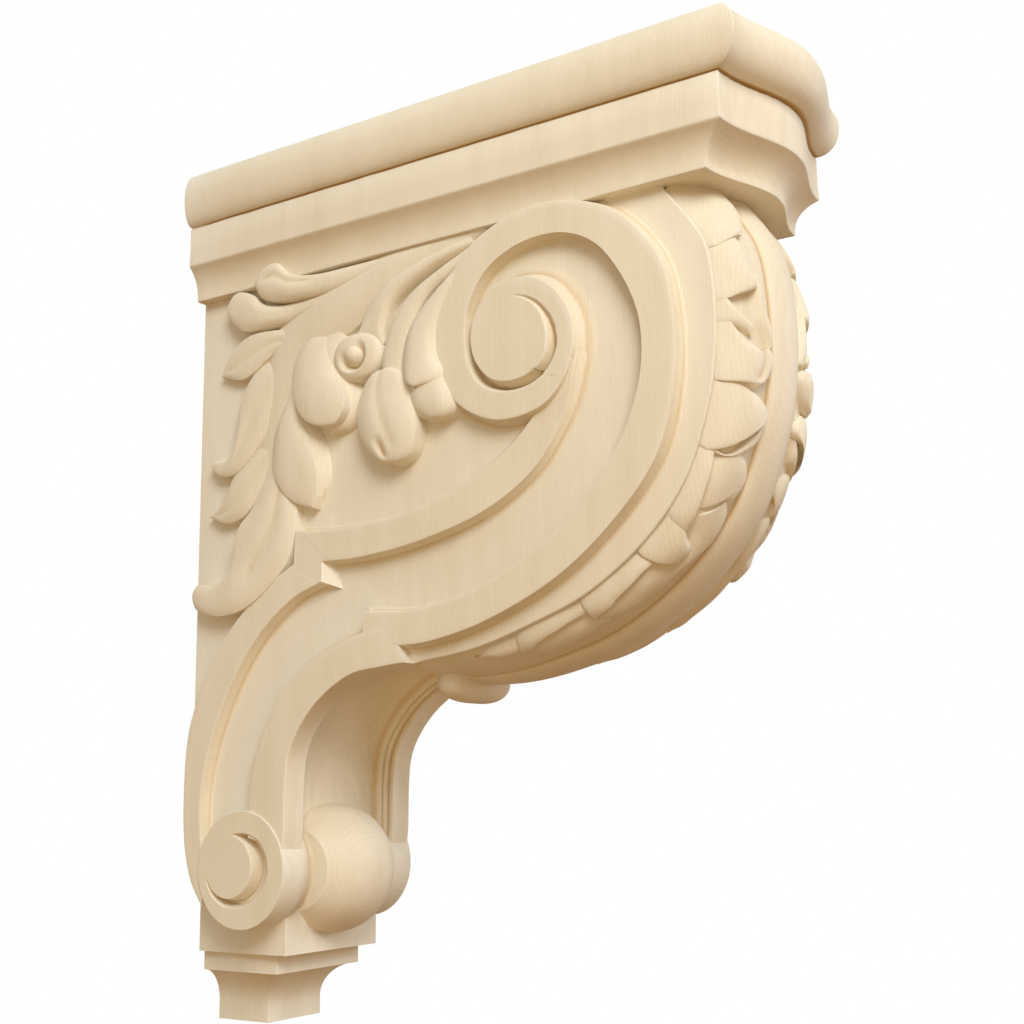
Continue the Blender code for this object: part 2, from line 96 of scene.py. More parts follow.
def curve(points, count, crowd=1.0):
    """A Catmull-Rom curve through the points: on each span the cubic whose slope at each end is half the
    step between the neighbours. count points at even steps of its length, closer at the end if crowd > 1."""
    p = np.asarray(points, float)
    knots = np.vstack([2 * p[0] - p[1], p, 2 * p[-1] - p[-2]])
    at = np.linspace(0, len(p) - 1, 60 * len(p))
    k = np.minimum(at.astype(int), len(p) - 2)
    t = (at - k)[:, None]
    a, b, c, d = knots[k], knots[k + 1], knots[k + 2], knots[k + 3]
    fine = 0.5 * (2 * b + (c - a) * t + (2 * a - 5 * b + 4 * c - d) * t**2 + (3 * b - a - 3 * c + d) * t**3)
    run = np.concatenate([[0.0], np.cumsum(np.linalg.norm(np.diff(fine, axis=0), axis=1))])
    want = run[-1] * (1 - (1 - np.linspace(0, 1, count)) ** crowd)
    return np.stack([np.interp(want, run, fine[:, i]) for i in range(p.shape[1])], axis=1)


def values(knots, count, crowd=1.0):
    """A smooth run of numbers through the knots, at the same shares of length as curve() gives."""
    t = 1 - (1 - np.linspace(0, 1, count)) ** crowd
    k = np.asarray(knots, float)
    line = curve(np.stack([np.linspace(0, 1, len(k)), k / 1e3], axis=1), 400)
    return np.interp(t, line[:, 0], line[:, 1] * 1e3)


def ease(low, high, x):
    """0 below low and 1 above high, with the cubic 3t^2 - 2t^3 between."""
    t = np.clip((x - low) / (high - low), 0, 1)
    return t * t * (3 - 2 * t)


def directions(path):
    """The unit direction along a drawn path at each of its points."""
    step = np.gradient(path, axis=0)
    return step / np.maximum(np.linalg.norm(step, axis=1, keepdims=True), 1e-9)


def left_of(path):
    """The unit direction a quarter turn to the left of a drawn path."""
    step = directions(path)
    return np.stack([-step[:, 1], step[:, 0]], axis=1)


def signed(points, faces):
    """Six times the volume inside faces, each split into a fan from its first corner."""
    total = 0.0
    for face in faces:
        corners = points[face]
        total += (corners[..., :1, :] * np.cross(corners[..., 1:-1, :], corners[..., 2:, :])).sum()
    return total


def tube(rings, closed=False):
    """A closed solid from rings of points, an array (rings, points, 3): quads between neighbours, and a flat
    face over each end ring, or none where the last ring joins the first. Its faces are turned round if its
    volume, the sum of the signed volumes of the tetrahedra from the origin to its faces, is negative."""
    rows, cols = rings.shape[:2]
    index = np.arange(rows * cols).reshape(rows, cols)
    lower = index if closed else index[:-1]
    upper = np.roll(index, -1, axis=0) if closed else index[1:]
    quads = np.stack([lower, np.roll(lower, -1, axis=1), np.roll(upper, -1, axis=1), upper], axis=-1)
    quads = quads.reshape(-1, 4)
    ends = [] if closed else [index[0][::-1], index[-1]]
    points = rings.reshape(-1, 3)
    if signed(points, [quads, *ends]) < 0:
        quads, ends = quads[:, ::-1], [e[::-1] for e in ends]
    return points, quads, ends


def twin(part):
    """The same solid on the other side of the middle, its faces turned the right way again."""
    points, quads, ends = part
    return points * np.array([-1.0, 1.0, 1.0]), quads[:, ::-1], [e[::-1] for e in ends]


def both(parts):
    """The solids of one side and their twins on the other."""
    return [*parts, *[twin(p) for p in parts]]


def paint_wear_and_shade(made):
    """Stores how sharply the surface turns at each point, as the attribute "edge_wear_hollow_shade": above 0
    on an arris, where sanding leaves the wood paler, and below 0 in a hollow, which the material darkens as
    painted shade. It is the mean, over the edges that meet there, of how far the other end lies behind the
    tangent plane, over the edge's length, twice evened out with its neighbours'."""
    count, edges = len(made.vertices), len(made.edges)
    place, normal, ends = np.empty(count * 3), np.empty(count * 3), np.empty(edges * 2, int)
    made.vertices.foreach_get("co", place)
    made.vertex_normals.foreach_get("vector", normal)
    made.edges.foreach_get("vertices", ends)
    place, normal, ends = place.reshape(-1, 3), normal.reshape(-1, 3), ends.reshape(-1, 2)
    step = place[ends[:, 1]] - place[ends[:, 0]]
    step /= np.maximum(np.linalg.norm(step, axis=1, keepdims=True), 1e-9)
    behind = np.concatenate([-(step * normal[ends[:, 0]]).sum(1), (step * normal[ends[:, 1]]).sum(1)])
    at = np.concatenate([ends[:, 0], ends[:, 1]])
    other = np.concatenate([ends[:, 1], ends[:, 0]])
    near = np.maximum(np.bincount(at, minlength=count), 1)
    edge_wear_hollow_shade = np.bincount(at, behind, count) / near
    for _ in range(2):
        edge_wear_hollow_shade = (edge_wear_hollow_shade + np.bincount(at, edge_wear_hollow_shade[other], count) / near) / 2
    made.attributes.new("edge_wear_hollow_shade", "FLOAT", "POINT").data.foreach_set("value", edge_wear_hollow_shade.astype(np.float32))


def mesh(name, parts, angle=35.0):
    """One piece made of closed solids, its drawn points (x, u, z) turned to metres in the part's frame. Edges
    that turn by less than the angle, in degrees, are shaded smooth."""
    points, faces, base = [], [], 0
    for solid, quads, ends in parts:
        points.append(solid)
        faces += (quads + base).tolist() + [(e + base).tolist() for e in ends]
        base += len(solid)
    flat = np.vstack(points)
    place = np.stack([flat[:, 0] * UNIT, -flat[:, 1] * UNIT, flat[:, 2] * UNIT - HEIGHT / 2], axis=1)
    made = bpy.data.meshes.new(name)
    made.from_pydata(place.tolist(), [], [f[::-1] for f in faces])
    made.validate()
    made.shade_smooth()
    made.set_sharp_from_angle(angle=math.radians(angle))
    paint_wear_and_shade(made)
    piece = bpy.data.objects.new(name, made)
    bpy.context.scene.collection.objects.link(piece)
    made.materials.append(WOOD)
    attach(piece, "root")
    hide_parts("corbel")
    return piece


# Wood

def linear(hex_colour):
    """The linear RGBA of an sRGB hex colour."""
    parts = [int(hex_colour[i : i + 2], 16) / 255 for i in (1, 3, 5)]
    return (*[c / 12.92 if c <= 0.04045 else ((c + 0.055) / 1.055) ** 2.4 for c in parts], 1.0)


def node(tree, kind, links=None, **settings):
    """Adds one node: settings are its properties, and links its inputs by number or name, each a value or the
    socket that feeds it."""
    made = tree.nodes.new(kind)
    for key, value in settings.items():
        setattr(made, key, value)
    for key, value in (links or {}).items():
        if isinstance(value, bpy.types.NodeSocket):
            tree.links.new(value, made.inputs[key])
        else:
            made.inputs[key].default_value = value
    return made


def ramp(tree, factor, stops):
    """A colour ramp with (place, hex colour) stops."""
    made = node(tree, "ShaderNodeValToRGB", {0: factor})
    band = made.color_ramp
    while len(band.elements) < len(stops):
        band.elements.new(0.5)
    for element, (at, colour) in zip(band.elements, stops):
        element.position = at
        element.color = linear(colour)
    return made.outputs[0]


def carved_limewood():
    """Limewood (basswood), carved and sanded, no finish: pale cream and dull. The tree's axis runs up behind
    the corbel, so its growth rings show as faint upright lines on the flat sides and as nested ovals on the
    round barrel. Real rings are about 1.5 mm apart and the fibres 0.3 mm; both are barely darker."""
    material = bpy.data.materials.new("Limewood, carved and sanded")
    material.use_nodes = True
    tree = material.node_tree
    tree.nodes.clear()
    place = node(tree, "ShaderNodeTexCoord").outputs["Object"]
    drift = node(tree, "ShaderNodeTexNoise", {"Vector": place, "Scale": 7.0, "Detail": 2.0}).outputs["Color"]
    bent = node(tree, "ShaderNodeVectorMath", {0: drift, 1: (0.016, 0.016, 0.0), 2: place},
                operation="MULTIPLY_ADD").outputs[0]
    from_axis = node(tree, "ShaderNodeMapping", {0: bent, "Location": (-0.021, -0.19, 0.0)}).outputs[0]
    rings = node(tree, "ShaderNodeTexWave", {0: from_axis, "Scale": 210.0, "Distortion": 0.9, "Detail": 2.0},
                 wave_type="RINGS", rings_direction="Z").outputs["Fac"]
    along = node(tree, "ShaderNodeMapping", {0: place, "Scale": (1.0, 1.0, 0.05)}).outputs[0]
    fibre = node(tree, "ShaderNodeTexNoise", {"Vector": along, "Scale": 1700.0, "Detail": 2.0}).outputs["Fac"]
    streak = node(tree, "ShaderNodeTexNoise", {"Vector": along, "Scale": 120.0, "Detail": 3.0}).outputs["Fac"]
    patch = node(tree, "ShaderNodeTexNoise", {"Vector": place, "Scale": 11.0, "Detail": 4.0}).outputs["Fac"]
    tone = node(tree, "ShaderNodeMath", {0: rings, 1: 0.06}, operation="MULTIPLY").outputs[0]
    tone = node(tree, "ShaderNodeMath", {0: fibre, 1: 0.24, 2: tone}, operation="MULTIPLY_ADD").outputs[0]
    tone = node(tree, "ShaderNodeMath", {0: streak, 1: 0.30, 2: tone}, operation="MULTIPLY_ADD").outputs[0]
    tone = node(tree, "ShaderNodeMath", {0: patch, 1: 0.40, 2: tone}, operation="MULTIPLY_ADD").outputs[0]
    colour = ramp(tree, tone, [(0.30, "#DAD0B8"), (0.50, "#E4DCC8"), (0.70, "#EBE4D2")])
    # Sanding leaves the arrises paler; the hollows are painted browner, as painted shade where less light
    # reaches.
    edge_wear_hollow_shade = node(tree, "ShaderNodeAttribute", attribute_name="edge_wear_hollow_shade").outputs["Fac"]
    wear_and_shade_tint = ramp(tree, node(tree, "ShaderNodeMapRange", {0: edge_wear_hollow_shade, 1: -0.12, 2: 0.12}).outputs[0],
                   [(0.0, "#DDBE8E"), (0.44, "#FCF8F0"), (0.56, "#FCF8F1"), (1.0, "#FFFFFF")])
    # Multiplies the wood by the tint: real sanding wear on arrises, painted shade in hollows.
    colour = node(tree, "ShaderNodeMix", {"Factor": 1.0, 6: colour, 7: wear_and_shade_tint}, data_type="RGBA",
                  blend_type="MULTIPLY").outputs[2]
    bump = node(tree, "ShaderNodeBump", {"Strength": 0.12, "Distance": 0.0001, "Height": fibre}).outputs[0]
    shader = node(tree, "ShaderNodeBsdfPrincipled", {"Base Color": colour, "Roughness": 0.62, "IOR": 1.4,
                                                     "Normal": bump})
    node(tree, "ShaderNodeOutputMaterial", {0: shader.outputs[0]})
    return material


WOOD = carved_limewood()


# Cap: its mouldings are one profile carried round three sides, the front bowed

def cap_plan(side, front, bow, count_side=24, count_front=120):
    """The cap's outline at one level: straight sides, rounded corners and a front that stands out by
    bow * cos^2 of the share of its half width."""
    half = FASCIA + side
    deep = FASCIA_DEPTH + front
    soft = 1.2
    u = np.linspace(0, deep - soft, count_side)
    sides = np.stack([np.full(count_side, half), u], axis=1)
    turn = np.linspace(0, np.pi / 2, 6)[1:-1]
    corner = np.stack([half - soft + soft * np.cos(turn), deep - soft + soft * np.sin(turn)], axis=1)
    x = np.linspace(half - soft, -(half - soft), count_front)
    face = np.stack([x, deep + bow * np.cos(np.pi * x / (2 * half)) ** 2], axis=1)
    flip = np.array([-1.0, 1.0])
    return np.vstack([sides, corner, face, corner[::-1] * flip, sides[::-1] * flip])


def make_cap():
    """Levels of the cap from its underside up: lip, cove (an arc), fascia, a ragged quirk and a half-round
    roll whose front stands out further than its sides."""
    levels = [(-COVE_IN - 2.6, -COVE_BACK - 2.0, CAP_BOTTOM, BOW),
              (-COVE_IN - 1.1, -COVE_BACK - 1.0, CAP_BOTTOM, BOW),
              (-COVE_IN - 0.2, -COVE_BACK - 0.2, CAP_BOTTOM + 0.6, BOW),
              (-COVE_IN, -COVE_BACK, CAP_BOTTOM + 1.8, BOW)]
    flare, front_flare, rise = np.radians([46, 66, 56])
    for share in np.linspace(0, 1, 12):
        side = -COVE_IN + COVE_IN * (1 - math.cos(flare * share)) / (1 - math.cos(flare))
        front = -COVE_BACK + COVE_BACK * (1 - math.cos(front_flare * share)) / (1 - math.cos(front_flare))
        z = CAP_BOTTOM + LIP + COVE_RISE * math.sin(rise * share) / math.sin(rise)
        levels.append((side, front, z, BOW))
    levels += [(0.5, 0.5, 881.0, BOW), (0.6, 0.6, 883.0, BOW), (0.0, 0.0, 900.0, BOW)]
    ragged = len(levels) + 1
    levels += [(0.0, 0.0, QUIRK - 1.7, BOW), (-0.6, -0.6, QUIRK - 0.5, BOW), (-2.4, -2.0, QUIRK, BOW),
               (-2.4, -2.0, QUIRK_TOP, BOW)]
    for turn in np.radians(np.linspace(-82, 90, ROLL_STEPS)):
        up = math.sin(turn)
        out = math.cos(turn)
        side = ROLL_OUT * out if up < 0 else ROLL_OUT - 21 * (1 - out)
        forward = ROLL_FORWARD * out if up < 0 else ROLL_FORWARD - 33 * (1 - out)
        z = ROLL_MIDDLE + (34 if up < 0 else 35.5) * up
        levels.append((side - 0.3, forward, z, BOW + 2.5))
    rings = []
    for side, front, z, bow in levels:
        plan = cap_plan(side, front, bow)
        rings.append(np.column_stack([plan, np.full(len(plan), z)]))
    rings = np.array(rings)
    # The quirk is ragged: its lower edge wanders by a third of a millimetre along the cap.
    step = np.linalg.norm(np.diff(rings[ragged, :, :2], axis=0), axis=1)
    run = np.concatenate([[0.0], np.cumsum(step)])
    wander = 0.5 * np.sin(run / 3.1) + 0.35 * np.sin(run / 1.37 + 1) + 0.5 * np.sin(run / 11.3)
    rings[ragged : ragged + 2, :, 2] += wander * 0.8
    return mesh("cap_moulding", [tube(rings)], angle=28)


# Side view of the cheeks: the edges of each band, read on its flat face

LIMB_BACK = [(163, 503), (121, 480), (80, 448), (45, 408), (22, 366), (6, 322), (1, 268), (3, 205),
             (14, 160), (33, 130)]
LIMB_BACK_INNER = [(203, 479), (160, 463), (120, 434), (90, 401), (63, 358), (42, 310), (30, 262),
                   (28, 225), (32, 195), (42, 172)]
LIMB_FRONT = [(318, 384), (282, 381), (243, 375), (205, 354), (178, 328), (160, 297), (155, 262), (154, 215),
              (152, 192)]
LIMB_FRONT_INNER = [(300, 424), (262, 420), (222, 407), (183, 389), (148, 362), (122, 320), (106, 276),
                    (101, 232), (101, 205)]
BELLY = [(628, 838), (658, 797), (674, 765), (680, 715), (679, 668), (669, 610), (641, 540), (595, 485),
         (530, 440), (460, 413), (393, 394), (318, 384)]
UPPER_BAND = [(165, 539), (240, 536), (320, 543), (400, 569), (450, 598), (487, 636), (508, 668), (512, 700),
              (508, 724)]
UPPER_BAND_INNER = [(203, 501), (260, 501), (340, 511), (420, 534), (480, 572), (515, 622), (530, 668),
                    (533, 694), (528, 720)]
RING = [(300, 402), (350, 404), (420, 420), (500, 454), (565, 501), (618, 561), (640, 630), (643, 700),
        (629, 762), (585, 817), (530, 843), (470, 846), (410, 824), (372, 780), (358, 726), (366, 680),
        (395, 645), (440, 625), (490, 631), (519, 657), (530, 688), (527, 710)]
RING_INNER = [(264, 441), (330, 439), (400, 452), (470, 482), (528, 522), (575, 575), (602, 635), (607, 690),
              (594, 738), (562, 787), (520, 810), (470, 810), (428, 791), (404, 757), (399, 720), (405, 686),
              (421, 665), (448, 655), (478, 657), (500, 670), (511, 692), (510, 712)]
# The two square steps: corners of each patch, and how far the foot of its wall lies from each corner
BACK_STEP = [(165, 539), (171, 537.3), (210, 503), (203.5, 501), (203, 479), (197, 479.3), (158, 498.5),
             (163, 503)]
BACK_STEP_LEAN = [(0, 0), (0, 0), (0, 0), (8, 0), (19, -8), (0, 0), (0, 0), (0, 0)]
FRONT_STEP = [(264, 441), (271, 439), (307, 404.5), (301, 402), (300, 384), (292, 384.5), (255, 418),
              (262, 419.5)]
FRONT_STEP_LEAN = [(0, 0), (0, 0), (0, 0), (6, 0), (15, 2), (0, 0), (0, 0), (0, 0)]
# The drum at the foot and its eye: centre and radius
DRUM = ((92, 170), 64)
LOWER_EYE = ((74, 173), 34.5)
EYE = (452, 712)
# At each angle about the eye, in degrees: the outer edge of the eye and, from -44 on, of the band's last turn
EYE_EDGE = [(-170, 45.4), (-143, 45), (-114, 47), (-86, 48), (-60, 50.5), (-48, 52), (-44, 80), (-20, 84),
            (-6, 80.5), (9, 77), (26, 72), (46, 69), (64, 66), (81, 63), (98, 60.5), (121, 56), (140, 52),
            (161, 48), (190, 45.4)]
# The groove between them: angle, inner edge, outer edge, depth
EYE_GROOVE = [(-50, 51.8, 63.3, 13.5), (-39, 52.3, 63.9, 12.8), (-23, 50.3, 64, 10), (-9, 48, 61.8, 7.4),
              (7, 45.8, 56.8, 5.4), (24, 44.2, 52, 3.8), (51, 42.8, 47, 1.8), (70, 42.6, 45, 0.6),
              (85, 43, 44.6, 0)]


def wall_profile():
    """From the top edge of a raised face down to the carved ground, as (shift of the edge in drawn units,
    share of the wall's spread, share of the drop): a small rounded arris, then a wall that flattens into the
    ground like a cove, t for the distance and 1 - (1 - t)^1.5 for the drop."""
    turn = np.linspace(0, np.pi / 2, 5)
    arris = np.stack([-ARRIS + ARRIS * np.sin(turn), 0 * turn, 0.09 * (1 - np.cos(turn))], axis=1)
    t = np.linspace(0, 1, 12)[1:]
    foot = np.stack([0 * t, 0.75 * t + 0.6 * ease(0.6, 1.0, t), 0.09 + 0.91 * (1 - (1 - t) ** 1.5)], axis=1)
    return np.vstack([arris, foot, [[-2.0, 1.35, 1.6]]])


def band(one, other, count, face, slopes, floor=GROUND):
    """A flat raised band between two drawn edges: the same cross profile carried along both. face is its
    height and slopes how far each wall spreads, each one number or one for each station."""
    a, b = curve(one, count), curve(other, count)
    top = np.broadcast_to(face, count).astype(float)
    spread = [np.broadcast_to(slope, count).astype(float)[:, None] for slope in slopes]
    out = a - b
    out /= np.linalg.norm(out, axis=1, keepdims=True)
    rows = [np.column_stack([-(top - (top - floor) * drop), a + out * (shift + share * spread[0])])
            for shift, share, drop in wall_profile()[::-1]]
    rows += [np.column_stack([-top, a + (b - a) * share]) for share in np.linspace(0.15, 0.85, 4)]
    rows += [np.column_stack([-(top - (top - floor) * drop), b - out * (shift + share * spread[1])])
             for shift, share, drop in wall_profile()]
    return tube(np.stack(rows, axis=1))


def plate(corners, lean, face, floor=CORE):
    """A flat raised patch with straight edges: lean gives how far each corner's wall foot lies from it."""
    top = np.asarray(corners, float)
    foot = top + np.asarray(lean, float)
    centre = top.mean(axis=0)
    rows = [np.column_stack([np.full(len(top), -x), line]) for x, line in
            ((floor - BURY, foot), (floor, foot), (face, top))]
    rows += [np.column_stack([np.full(len(top), -face), centre + (top - centre) * share])
             for share in (0.97, 0.93, 0.86, 0.7)]
    return tube(np.stack(rows))


def spiral_end(face, count=420):
    """The eye and the last turn of the band, which grows out of it, on a polar grid. The groove between them
    starts as nothing at the top and deepens clockwise down to the ground."""
    angle = np.linspace(-170, 190, count, endpoint=False)
    ray = np.stack([np.cos(np.radians(angle)), np.sin(np.radians(angle))], axis=1)

    def around(knots, column):
        """A drawn column of numbers at every angle, evened out over thirteen neighbours."""
        at, value = np.array(knots, float)[:, [0, column]].T
        rough = np.interp(angle, at, value)
        looped = np.concatenate([rough[-6:], rough, rough[:6]])
        return np.convolve(looped, np.hanning(15)[1:-1] / np.hanning(15).sum(), mode="valid")

    def depth(r):
        """The groove: down from its inner edge to the middle of its width, and up again to the outer one."""
        middle = (inner + outer) / 2
        return deep * ease(inner - 0.8, middle, r) * (1 - ease(middle, outer + 0.8, r))

    edge = around(EYE_EDGE, 1)
    grooved = (angle > -55) & (angle < 85)
    inner = np.where(grooved, around(EYE_GROOVE, 1), 0.8 * edge)
    outer = np.where(grooved, around(EYE_GROOVE, 2), 0.9 * edge)
    deep = np.where(grooved, around(EYE_GROOVE, 3), 0.0)
    radii = [share * (inner - 2) for share in (0.05, 0.4, 0.75, 0.95)]
    last = np.minimum(outer + 2, edge - 2)
    radii += [inner - 2 + share * (last - inner + 2) for share in np.linspace(0, 1, 24)]
    radii.append((radii[-1] + edge - ARRIS) / 2)
    rings = []
    for r in radii:
        rings.append(np.column_stack([-(face - depth(r)), EYE + ray * r[:, None]]))
    spread = WALL + 8 * ease(-50, -15, angle) * (1 - ease(30, 110, angle))
    top = face - depth(edge)
    for shift, share, drop in wall_profile():
        reach = (edge + shift + share * spread)[:, None]
        rings.append(np.column_stack([-(top - (top - GROUND) * drop), EYE + ray * reach]))
    return tube(np.stack(rings))


def make_scrolls():
    """The raised bands of the S-scroll, the patches that join them at their square steps, and the eye."""
    def start(along, length):
        """How far a band's face sinks at its first stations, so that its end lies under the step's patch."""
        return 0.4 * (1 - ease(0.0, length, along))

    back, front, upper, ring = (np.linspace(0, 1, count) for count in (150, 120, 130, 300))
    limb_face = CHEEK - 0.05
    patch_face = CHEEK - 0.12
    dip = 5.0 * ease(0.30, 0.72, upper) - 2.5 * ease(0.75, 0.88, upper) + start(upper, 0.02)
    upper_spread = WALL + 7 * ease(0.70, 0.86, upper) - 5 * ease(0.88, 1.0, upper)
    ring_face = CHEEK + (VOLUTE - CHEEK) * ease(0.35, 0.6, ring) - start(ring, 0.006)
    parts = [
        band(LIMB_BACK, LIMB_BACK_INNER, len(back), limb_face - start(back, 0.02), (0, WALL)),
        band(LIMB_FRONT, LIMB_FRONT_INNER, len(front), limb_face - start(front, 0.02), (0, WALL)),
        band(UPPER_BAND, UPPER_BAND_INNER, len(upper), CHEEK - dip, (WALL, upper_spread)),
        band(RING, RING_INNER, len(ring), ring_face, (WALL, WALL)),
        spiral_end(VOLUTE + 0.15),
        plate(BACK_STEP, BACK_STEP_LEAN, patch_face),
        plate(FRONT_STEP, FRONT_STEP_LEAN, patch_face),
    ]
    return mesh("scroll_bands", both(parts), angle=32)


# Core: the back board and the body between the cheeks

front_path = curve(BELLY, 400)
front_out = left_of(front_path)


def swell(x, share):
    """How far the belly stands out past the strip's edge: half an ellipse across, with a rounded midrib,
    fading towards the tongue."""
    across = np.minimum(np.abs(x) / BELLY_HALF, 1)
    late = np.clip((share - FADE_FROM) / (1 - FADE_FROM), 0, None)
    fade = 1 - FADE * late**1.5
    rib = np.sqrt(np.clip(1 - (x / RIB_HALF) ** 2, 0, 1))
    return SWELL * fade * np.sqrt(1 - across**2) - GUTTER * across**6 + RIB * fade * rib


def on_belly(x, share, out):
    """The place of a point of the belly, out from its swelling surface, along the front path's normal."""
    at = np.clip(share, 0, 1) * (len(front_path) - 1)
    k = np.arange(len(front_path))
    rise = out + swell(x, share)
    n = [np.interp(at, k, front_out[:, i]) for i in range(2)]
    return np.stack([x, np.interp(at, k, front_path[:, 0]) + n[0] * rise,
                     np.interp(at, k, front_path[:, 1]) + n[1] * rise], axis=-1)


def core_solid():
    """The board and body from cheek to cheek: one drawn outline at each x. Its front edge is rounded beside
    the cheeks and sunk behind the strip to make the gutter; its limb is sunk by a cove with a fillet at each
    side."""
    # The outline runs up the wall, into the cap, down the front and the limb, and back behind the barrel. In
    # the cap it lies a little in from the wall, so that the two back faces don't lie on each other.
    limb = curve(LIMB_FRONT, 180)
    wall = np.stack([np.zeros(60), np.linspace(FOOT_TOP, CAP_BOTTOM, 60)], axis=1)
    inset, top = 2, 900
    under_cap = [(inset, CAP_BOTTOM + 1), (inset, top), (300, top), (front_path[0, 0], top)]
    front = front_path[::2]
    outline = np.vstack([wall, under_cap, front, limb[1:], [(130, 160), (40, 152)]])
    inward = -left_of(outline)
    first = len(wall) + len(under_cap) + len(front)
    on_limb, on_front = np.zeros(len(outline)), np.zeros(len(outline))
    on_limb[first : first + len(limb) - 1] = ease(0.0, 0.16, np.linspace(0, 1, len(limb) - 1))
    on_front[first - len(front) : first] = 1 - ease(0.97, 1.0, np.linspace(0, 1, len(front)))
    turn = np.linspace(0, np.pi / 2, 5)
    soft = 2.4
    # Each station across: x, inset of the front edge, sink of the limb
    half = [(CORE - soft + soft * math.cos(t), soft - soft * math.sin(t), 0.0) for t in turn]
    half += [(92.6, 0.0, 0.0), (92.0, 1.5, 0.0), (91.7, 9.0, 0.0), (91.0, STRIP_DROP, 0.0)]
    fillet = [(80.0, 0.0), (79.0, 0.6), (78.6, 5.5), (73.0, 6.0), (72.4, 7.0), (71.8, 10.0), (69.6, 10.5),
              (68.8, 12.0)]
    half += [(x, STRIP_DROP, sink) for x, sink in fillet]
    cove = np.linspace(LIMB_COVE - 0.1, 0, 36)
    half += [(x, STRIP_DROP, 16 + 16 * math.sqrt(1 - (x / LIMB_COVE) ** 2)) for x in cove]
    across = half + [(-x, inset, sink) for x, inset, sink in half[-2::-1]]
    rows = []
    for x, inset, sink in across:
        inner = outline + inward * (inset * on_front + sink * on_limb)[:, None]
        rows.append(np.column_stack([np.full(len(outline), x), inner]))
    return tube(np.stack(rows))


def belly_body():
    """The swelling front on a grid: x across by the half sine, share down the front path."""
    x = BELLY_HALF * np.sin(np.linspace(-np.pi / 2, np.pi / 2, 121))
    share = np.linspace(0, 1, 260)
    xx, ss = np.meshgrid(x, share)
    face = on_belly(xx, ss, np.zeros_like(xx))
    inside = np.full(len(share), -40.0)
    edges = [on_belly(np.full(len(share), edge), share, inside) for edge in (BELLY_HALF, -BELLY_HALF)]
    return tube(np.concatenate([face, np.stack(edges, axis=1)], axis=1))


def turned(centre, profile, count=96):
    """A profile of (x, radius) turned about the line across the corbel through centre."""
    turn = np.linspace(0, 2 * np.pi, count, endpoint=False)
    rows = []
    for x, r in profile:
        u = centre[0] + r * np.cos(turn)
        z = centre[1] + r * np.sin(turn)
        rows.append(np.column_stack([np.full(count, x), u, z]))
    return tube(np.stack(rows))


def foot_block():
    """Square in plan and flat against the wall: toe, cove, fillet and block, from the profile of
    (half width, depth, z)."""
    toe_half, toe_deep, toe_top = 44.3, 75.1, 20.0
    levels = [(toe_half, toe_deep, 0.0), (toe_half, toe_deep, toe_top)]
    for t in np.linspace(0, 1, 14)[1:]:
        share = 1 - math.cos(math.pi / 2 * t)
        rise = 36.5 * math.sin(math.pi / 2 * t)
        levels.append((toe_half + 25.9 * share, toe_deep + 35.7 * share, toe_top + rise))
    levels += [(70.2, 110.8, 77.6), (78.5, 130.5, 77.7), (78.5, 130.5, FOOT_TOP)]
    soft = 1.0
    rings = []
    for half, deep, z in levels:
        turn = np.linspace(0, np.pi / 2, 5)
        corner = np.stack([half - soft + soft * np.cos(turn), deep - soft + soft * np.sin(turn)], axis=1)
        flip = np.array([-1.0, 1.0])
        side = np.array([[half, 0.0], [half, deep * 0.5]])
        plan = np.vstack([side, corner, [[0.0, deep]], corner[::-1] * flip, side[::-1] * flip])
        rings.append(np.column_stack([plan, np.full(len(plan), z)]))
    return tube(np.array(rings))


def volute_face(drum, eye, face, sunk):
    """The drum's flat face with the groove round its eye, on a polar grid about the eye. The groove lies
    between the eye and an outer edge whose distance from it is drawn against the angle; its walls lean."""
    middle, radius = np.array(eye[0], float), eye[1]
    turn = np.linspace(0, 2 * np.pi, 320, endpoint=False)
    degrees = np.degrees(turn)
    # Distance of the groove's outer edge past the eye, clockwise from its start at 82 degrees
    at = np.array([-170, -138, -113, -82, -52, -27, -5, 11, 30, 49, 66, 82.0])
    wide = np.array([0.0, 3.0, 6.0, 10.0, 15.5, 21.0, 25.0, 23.5, 19.5, 12.0, 5.0, 0.0])
    wrapped = np.where(degrees > 180, degrees - 360, degrees)
    width = np.interp(wrapped, at, wide, left=0.0, right=0.0)
    width = np.convolve(np.concatenate([width[-6:], width, width[:6]]), np.ones(13) / 13, mode="valid")
    ray = np.stack([np.cos(turn), np.sin(turn)], axis=1)
    away = np.array(drum[0], float) - middle
    toward = ray @ away
    rim = toward + np.sqrt(toward**2 - away @ away + drum[1] ** 2)
    share = np.concatenate([[0.02, 0.2, 0.4], np.linspace(0.42, 1, 120)])
    r = share[:, None] * (rim[None, :] - 1.2)
    inner = ease(radius - 0.6, radius + 1.0 + 0.22 * width[None, :], r)
    outer = 1 - ease(radius + 0.62 * width[None, :] - 0.4, radius + width[None, :] + 0.6, r)
    deep = sunk * ease(0.0, 9.0, width)[None, :] * inner * outer
    rings = np.concatenate([-(face - deep)[..., None], middle + ray[None] * r[..., None]], axis=-1)
    edge = []
    for soft, drop in ((0.4, 0.25), (0.0, 1.2), (0.0, 30.0)):
        edge.append(np.column_stack([np.full(len(turn), drop - face), middle + ray * (rim - soft)[:, None]]))
    return tube(np.concatenate([rings, np.stack(edge)]))


